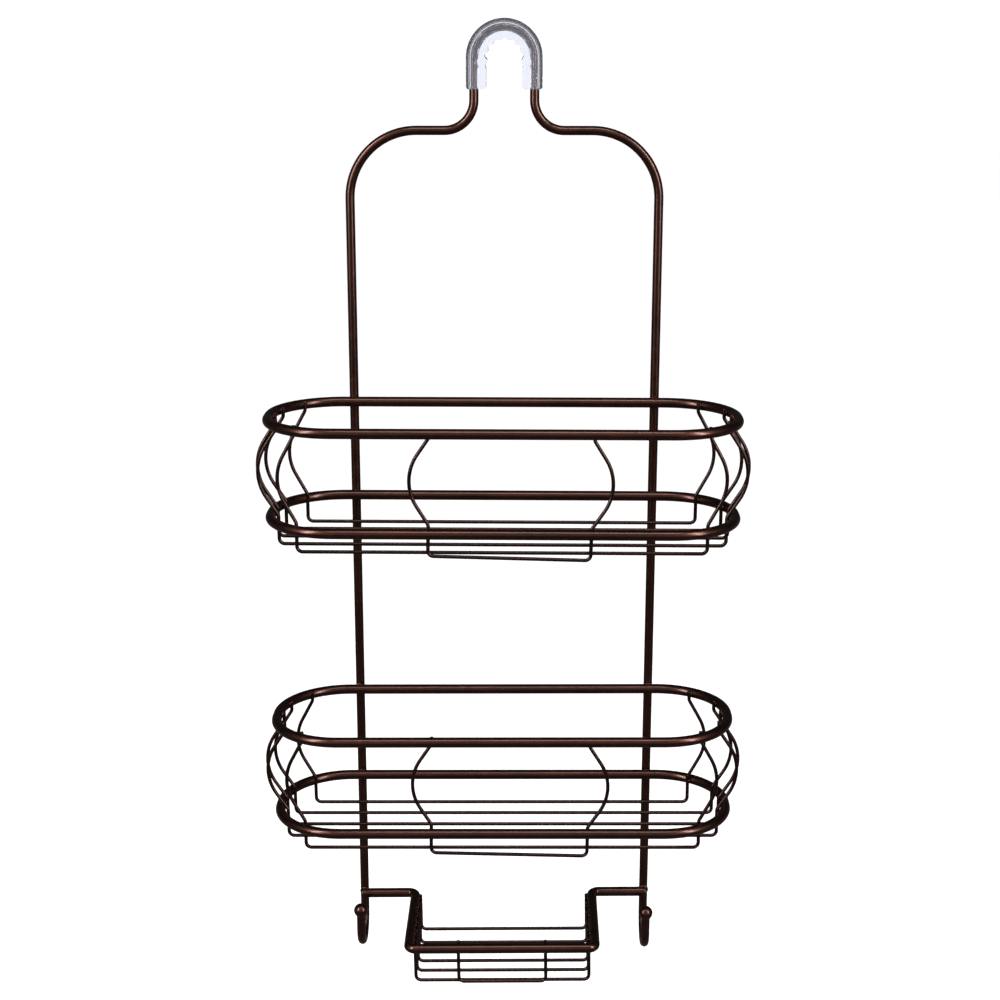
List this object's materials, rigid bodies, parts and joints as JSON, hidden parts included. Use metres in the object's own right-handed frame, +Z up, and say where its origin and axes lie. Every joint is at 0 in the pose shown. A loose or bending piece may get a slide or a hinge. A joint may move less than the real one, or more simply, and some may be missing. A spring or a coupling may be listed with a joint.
{
  "type": "shower caddy",
  "caption": "Bent-wire shower caddy that hangs from a shower arm by a toothed grip, with two open wire baskets, a wire soap dish and a ball-ended hook on each leg.",
  "frame": {"origin": "middle of the loop that sits on the shower arm, which is the arm's own axis", "axes": "+Z up, -Y to the front, away from the shower wall, +X to the right as seen from the front"},
  "size_m": [0.3085, 0.105, 0.6184],
  "materials": {
    "bronze_coat_heavy": "satin",
    "bronze_coat_thin": "satin",
    "clear_vinyl": "gloss"
  },
  "bodies": {
    "root": {"hanger_frame": "bronze_coat_heavy", "arm_grip": "clear_vinyl", "hook_ball_left": "bronze_coat_heavy", "hook_ball_right": "bronze_coat_heavy", "upper_top_ring": "bronze_coat_heavy", "upper_bottom_ring": "bronze_coat_heavy", "upper_side_wire_1": "bronze_coat_thin", "upper_side_wire_2": "bronze_coat_thin", "upper_side_wire_3": "bronze_coat_thin", "upper_side_wire_4": "bronze_coat_thin", "upper_side_wire_5": "bronze_coat_thin", "upper_front_wire": "bronze_coat_thin", "lower_top_ring": "bronze_coat_heavy", "lower_bottom_ring": "bronze_coat_heavy", "lower_side_wire_1": "bronze_coat_thin", "lower_side_wire_2": "bronze_coat_thin", "lower_side_wire_3": "bronze_coat_thin", "lower_side_wire_4": "bronze_coat_thin", "lower_side_wire_5": "bronze_coat_thin", "lower_front_wire": "bronze_coat_thin", "soap_rim": "bronze_coat_heavy", "soap_wire_1": "bronze_coat_thin", "soap_wire_2": "bronze_coat_thin", "soap_wire_3": "bronze_coat_thin", "soap_wire_4": "bronze_coat_thin", "soap_wire_5": "bronze_coat_thin", "soap_wire_6": "bronze_coat_thin", "soap_front_wire": "bronze_coat_thin"}
  },
  "joints": []
}
